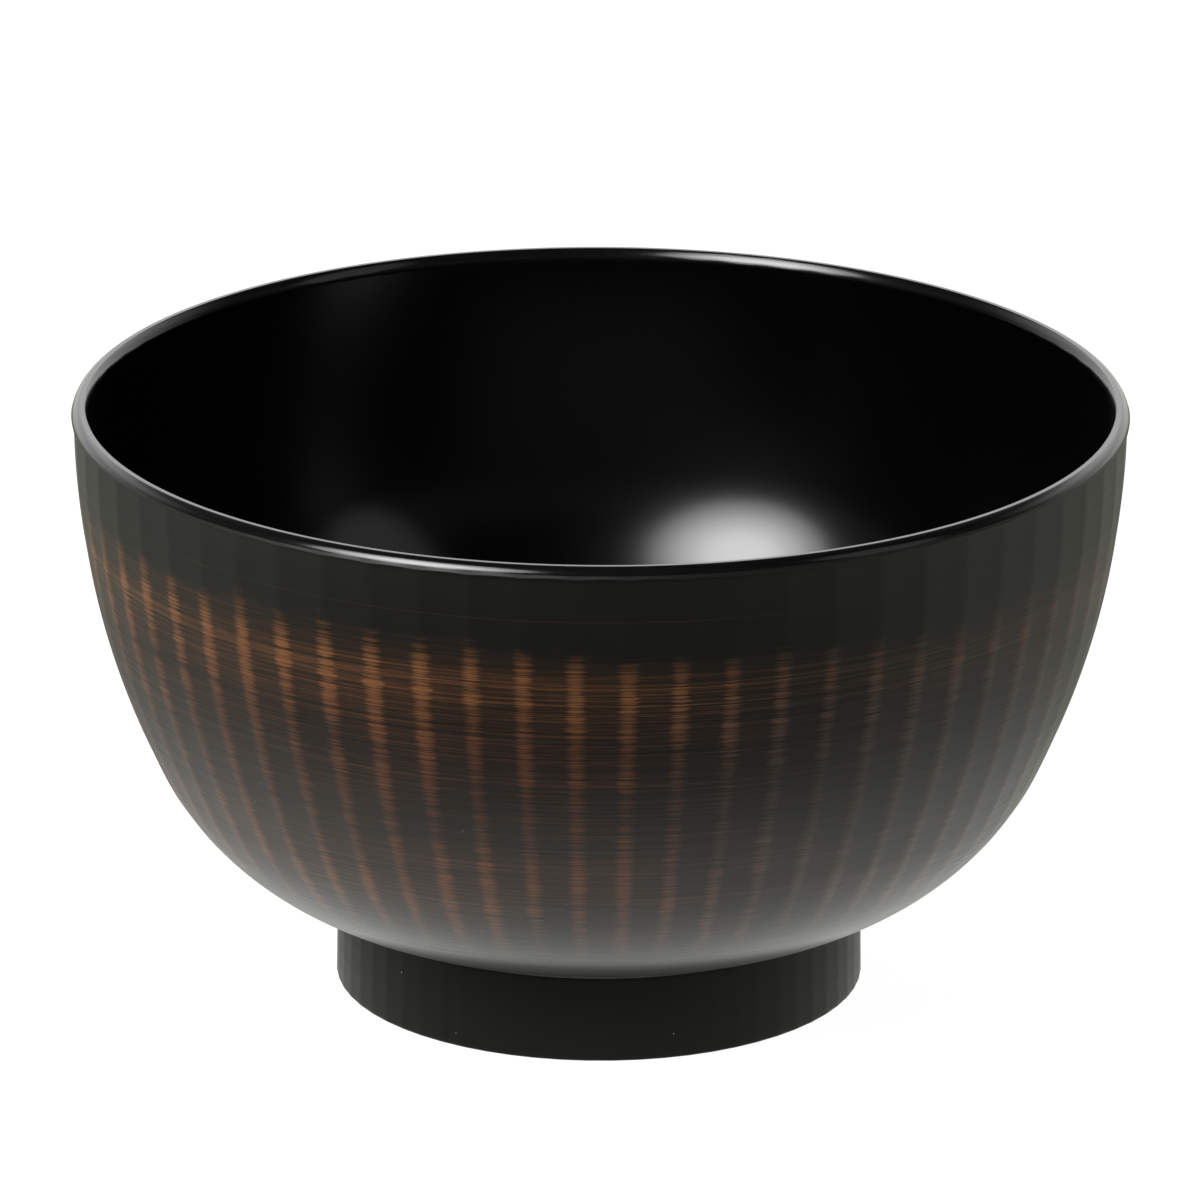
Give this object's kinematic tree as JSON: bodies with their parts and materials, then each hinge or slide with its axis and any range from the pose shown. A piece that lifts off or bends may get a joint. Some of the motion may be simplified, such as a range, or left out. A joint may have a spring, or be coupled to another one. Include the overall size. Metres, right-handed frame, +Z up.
{
  "type": "noodle bowl",
  "caption": "Round deep noodle bowl on a ring foot, dark lacquer with shallow upright flutes outside rubbed to brown on their ridges, and a gloss black inside.",
  "frame": {"origin": "on the table, under the middle of the foot", "axes": "+Z up along the bowl's axis, -Y to the front, +X to the right"},
  "size_m": [0.1658, 0.1658, 0.095],
  "materials": {
    "outside_lacquer": "satin black lacquer over wood, finely brushed around, rubbed through to copper brown on the ridges",
    "inside_lacquer": "gloss black lacquer",
    "foot_lacquer": "satin black lacquer over wood",
    "base_lacquer": "half gloss black lacquer"
  },
  "bodies": {
    "root": {"bowl_body": "outside_lacquer", "inside_coat": "inside_lacquer", "foot_ring": "foot_lacquer", "base_coat": "base_lacquer"}
  },
  "joints": []
}
